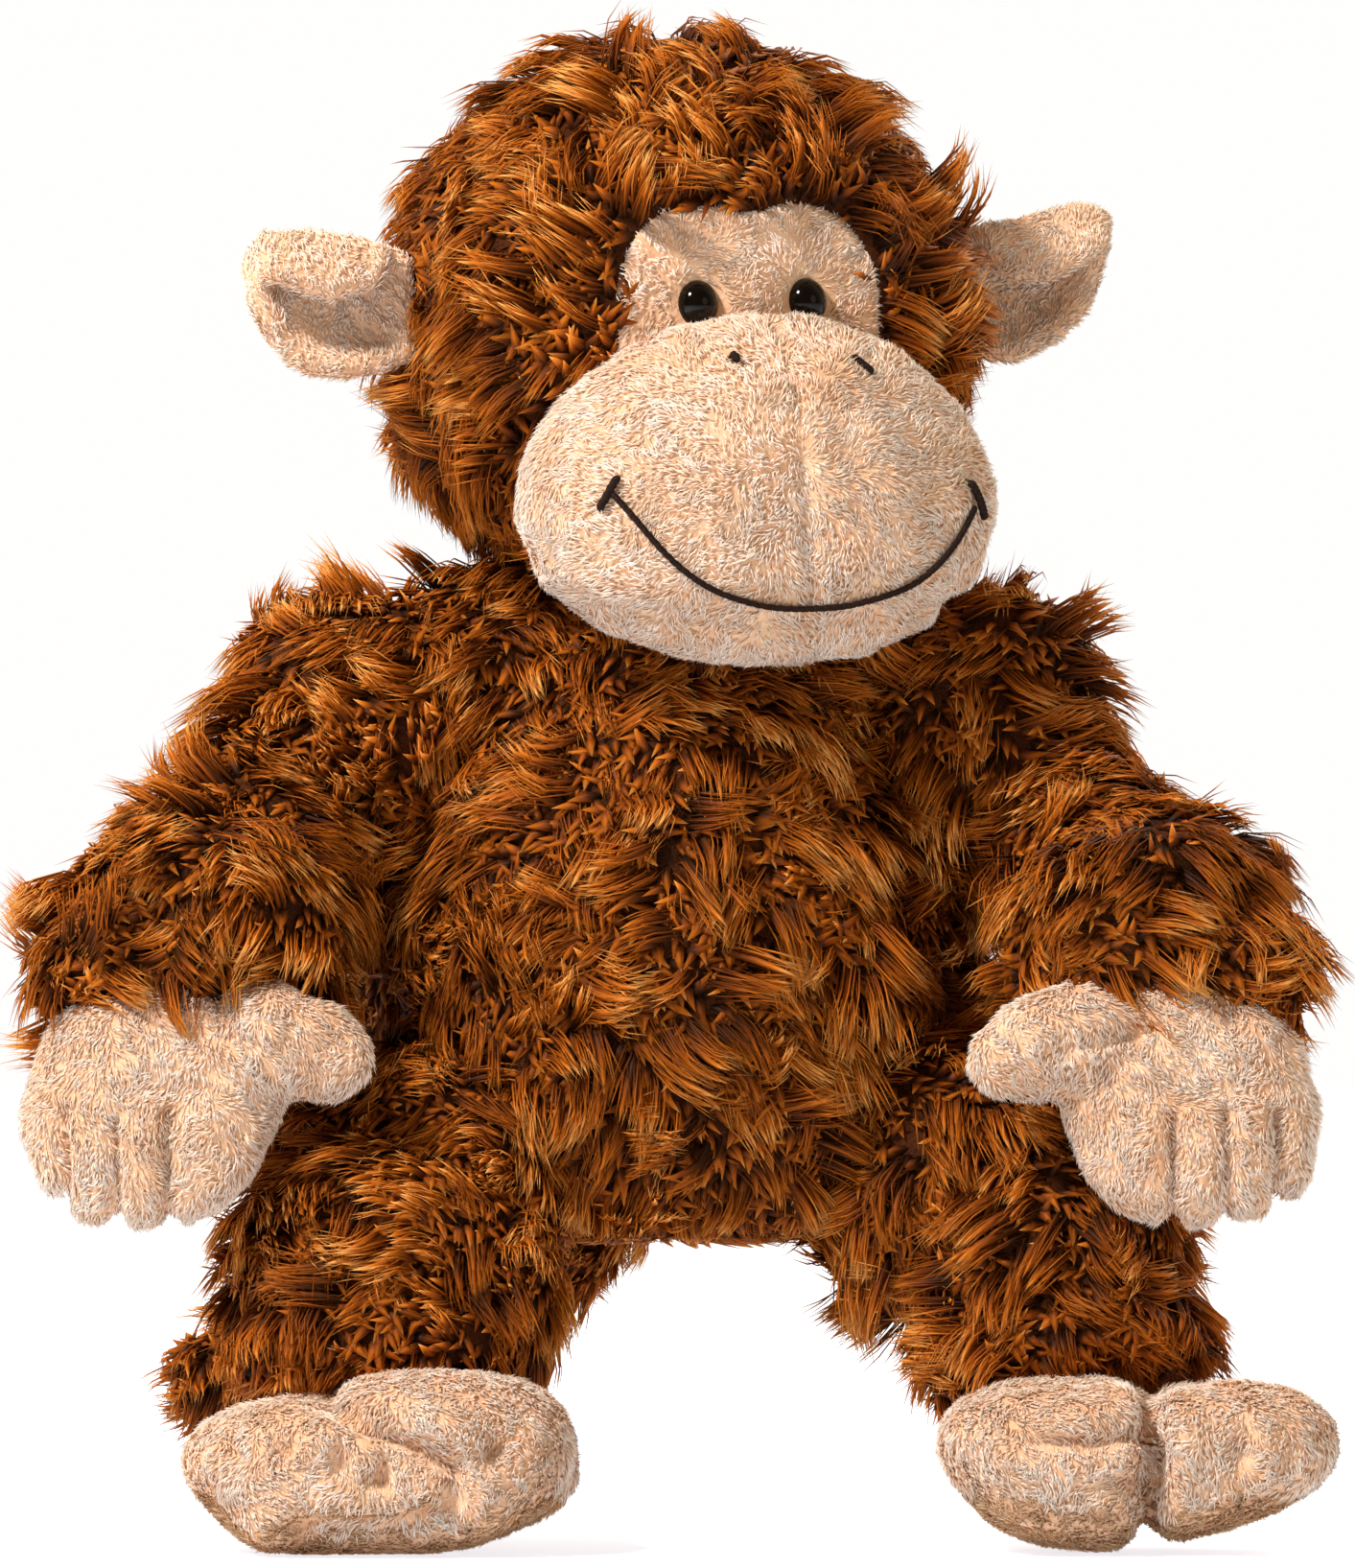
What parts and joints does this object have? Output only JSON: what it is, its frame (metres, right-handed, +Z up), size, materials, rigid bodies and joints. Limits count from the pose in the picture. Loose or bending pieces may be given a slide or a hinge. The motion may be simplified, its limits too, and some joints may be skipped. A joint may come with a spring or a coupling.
{
  "type": "stuffed monkey",
  "caption": "Seated plush monkey with long brown pile, short-pile face, ears, hands and feet, domed eyes, stitched smile, jointed soft limbs, turning head and a bending tail.",
  "frame": {"origin": "middle of the body's flat underside, which rests on a raised seat", "axes": "+Z up, the body faces -Y, the toy's own left is +X; the shins hang below the seat's level"},
  "size_m": [0.3391, 0.2426, 0.393],
  "materials": {
    "long_pile_plush": "matte",
    "short_pile_plush": "matte",
    "sole_plush": "matte",
    "fibre_stuffing": "matte",
    "pouch_cloth": "matte",
    "eye_plastic": "gloss",
    "washer_plastic": "satin",
    "dark_thread": "satin"
  },
  "bodies": {
    "torso": {"torso_skin": "long_pile_plush", "torso_stuffing": "fibre_stuffing", "pellet_pouch": "pouch_cloth"},
    "neck": {"neck_stuffing": "fibre_stuffing"},
    "head": {"head_skin": "long_pile_plush", "head_stuffing": "fibre_stuffing", "face_patch": "short_pile_plush", "muzzle_panel_right": "short_pile_plush", "muzzle_panel_left": "short_pile_plush", "chin_panel": "short_pile_plush", "muzzle_stuffing": "fibre_stuffing", "eye_right": "eye_plastic", "eye_left": "eye_plastic", "eye_washer_right": "washer_plastic", "eye_washer_left": "washer_plastic", "nostril_right": "dark_thread", "nostril_left": "dark_thread", "mouth_embroidery": "dark_thread"},
    "ear_right": {"ear_right": "short_pile_plush"},
    "ear_left": {"ear_left": "short_pile_plush"},
    "shoulder_right": {"shoulder_stuffing_right": "fibre_stuffing"},
    "upper_arm_right": {"upper_arm_right_skin": "long_pile_plush", "upper_arm_right_stuffing": "fibre_stuffing"},
    "forearm_right": {"forearm_right_skin": "long_pile_plush", "forearm_right_stuffing": "fibre_stuffing"},
    "hand_right": {"hand_right_skin": "short_pile_plush", "hand_right_stuffing": "fibre_stuffing"},
    "hip_right": {"hip_stuffing_right": "fibre_stuffing"},
    "thigh_right": {"thigh_right_skin": "long_pile_plush", "thigh_right_stuffing": "fibre_stuffing"},
    "shin_right": {"shin_right_skin": "long_pile_plush", "shin_right_stuffing": "fibre_stuffing"},
    "foot_right": {"foot_right_skin": "short_pile_plush", "foot_right_stuffing": "fibre_stuffing", "foot_right_sole": "sole_plush"},
    "shoulder_left": {"shoulder_stuffing_left": "fibre_stuffing"},
    "upper_arm_left": {"upper_arm_left_skin": "long_pile_plush", "upper_arm_left_stuffing": "fibre_stuffing"},
    "forearm_left": {"forearm_left_skin": "long_pile_plush", "forearm_left_stuffing": "fibre_stuffing"},
    "hand_left": {"hand_left_skin": "short_pile_plush", "hand_left_stuffing": "fibre_stuffing"},
    "hip_left": {"hip_stuffing_left": "fibre_stuffing"},
    "thigh_left": {"thigh_left_skin": "long_pile_plush", "thigh_left_stuffing": "fibre_stuffing"},
    "shin_left": {"shin_left_skin": "long_pile_plush", "shin_left_stuffing": "fibre_stuffing"},
    "foot_left": {"foot_left_skin": "short_pile_plush", "foot_left_stuffing": "fibre_stuffing", "foot_left_sole": "sole_plush"},
    "tail_root": {"tail_root_skin": "long_pile_plush", "tail_root_stuffing": "fibre_stuffing"},
    "tail_tip": {"tail_tip_skin": "long_pile_plush", "tail_tip_stuffing": "fibre_stuffing"}
  },
  "joints": [
    {"name": "neck_nod", "type": "hinge", "parent": "torso", "child": "neck", "pos_m": [0, 0, 0.158], "axis": [1, 0, 0], "range_deg": [-14, 10]},
    {"name": "neck_turn", "type": "hinge", "parent": "neck", "child": "head", "pos_m": [0, 0, 0.158], "axis": [0, 0, 1], "range_deg": [-55, 10]},
    {"name": "ear_right_fold", "type": "hinge", "parent": "head", "child": "ear_right", "pos_m": [-0.06995, -0.036, 0.24368], "axis": [-0.0277, -0.0106, 0.9996], "range_deg": [-25, 30]},
    {"name": "ear_left_fold", "type": "hinge", "parent": "head", "child": "ear_left", "pos_m": [0.07562, 0.01988, 0.24831], "axis": [0.0277, 0.0106, -0.9996], "range_deg": [-25, 30]},
    {"name": "shoulder_right_swing", "type": "hinge", "parent": "torso", "child": "shoulder_right", "pos_m": [-0.071, 0, 0.137], "axis": [-1, 0, 0], "range_deg": [0, 40]},
    {"name": "shoulder_right_spread", "type": "hinge", "parent": "shoulder_right", "child": "upper_arm_right", "pos_m": [-0.071, 0, 0.137], "axis": [0, 1, 0], "range_deg": [0, 40]},
    {"name": "elbow_right_bend", "type": "hinge", "parent": "upper_arm_right", "child": "forearm_right", "pos_m": [-0.107, -0.022, 0.099], "axis": [-0.6554, -0.19, 0.731], "range_deg": [-10, 28]},
    {"name": "wrist_right_bend", "type": "hinge", "parent": "forearm_right", "child": "hand_right", "pos_m": [-0.131, -0.07, 0.065], "axis": [-1, 0, 0], "range_deg": [-8, 30]},
    {"name": "hip_right_swing", "type": "hinge", "parent": "torso", "child": "hip_right", "pos_m": [-0.046, -0.008, 0.032], "axis": [-1, 0, 0], "range_deg": [-10, 8]},
    {"name": "hip_right_spread", "type": "hinge", "parent": "hip_right", "child": "thigh_right", "pos_m": [-0.046, -0.008, 0.032], "axis": [0, 0, -1], "range_deg": [-5, 12]},
    {"name": "knee_right_bend", "type": "hinge", "parent": "thigh_right", "child": "shin_right", "pos_m": [-0.075, -0.058, -0.005], "axis": [-0.865, 0.5017, 0], "range_deg": [-3, 45]},
    {"name": "ankle_right_bend", "type": "hinge", "parent": "shin_right", "child": "foot_right", "pos_m": [-0.076, -0.066, -0.046], "axis": [-0.9903, 0.1392, 0], "range_deg": [-20, 8]},
    {"name": "shoulder_left_swing", "type": "hinge", "parent": "torso", "child": "shoulder_left", "pos_m": [0.071, 0, 0.137], "axis": [-1, 0, 0], "range_deg": [0, 40]},
    {"name": "shoulder_left_spread", "type": "hinge", "parent": "shoulder_left", "child": "upper_arm_left", "pos_m": [0.071, 0, 0.137], "axis": [0, -1, 0], "range_deg": [0, 40]},
    {"name": "elbow_left_bend", "type": "hinge", "parent": "upper_arm_left", "child": "forearm_left", "pos_m": [0.107, -0.022, 0.099], "axis": [-0.6554, 0.19, -0.731], "range_deg": [-10, 28]},
    {"name": "wrist_left_bend", "type": "hinge", "parent": "forearm_left", "child": "hand_left", "pos_m": [0.131, -0.07, 0.065], "axis": [-1, 0, 0], "range_deg": [-8, 30]},
    {"name": "hip_left_swing", "type": "hinge", "parent": "torso", "child": "hip_left", "pos_m": [0.046, -0.008, 0.032], "axis": [-1, 0, 0], "range_deg": [-10, 8]},
    {"name": "hip_left_spread", "type": "hinge", "parent": "hip_left", "child": "thigh_left", "pos_m": [0.046, -0.008, 0.032], "axis": [0, 0, 1], "range_deg": [-5, 12]},
    {"name": "knee_left_bend", "type": "hinge", "parent": "thigh_left", "child": "shin_left", "pos_m": [0.099, -0.044, -0.005], "axis": [-0.5619, -0.8272, 0], "range_deg": [-3, 45]},
    {"name": "ankle_left_bend", "type": "hinge", "parent": "shin_left", "child": "foot_left", "pos_m": [0.106, -0.054, -0.046], "axis": [-0.891, -0.454, 0], "range_deg": [-20, 8]},
    {"name": "tail_swing", "type": "hinge", "parent": "torso", "child": "tail_root", "pos_m": [-0.008, 0.058, 0.022], "axis": [0, 0, 1], "range_deg": [-35, 20]},
    {"name": "tail_curl", "type": "hinge", "parent": "tail_root", "child": "tail_tip", "pos_m": [-0.046, 0.09, -0.022], "axis": [0, 0, 1], "range_deg": [-40, 15]}
  ]
}
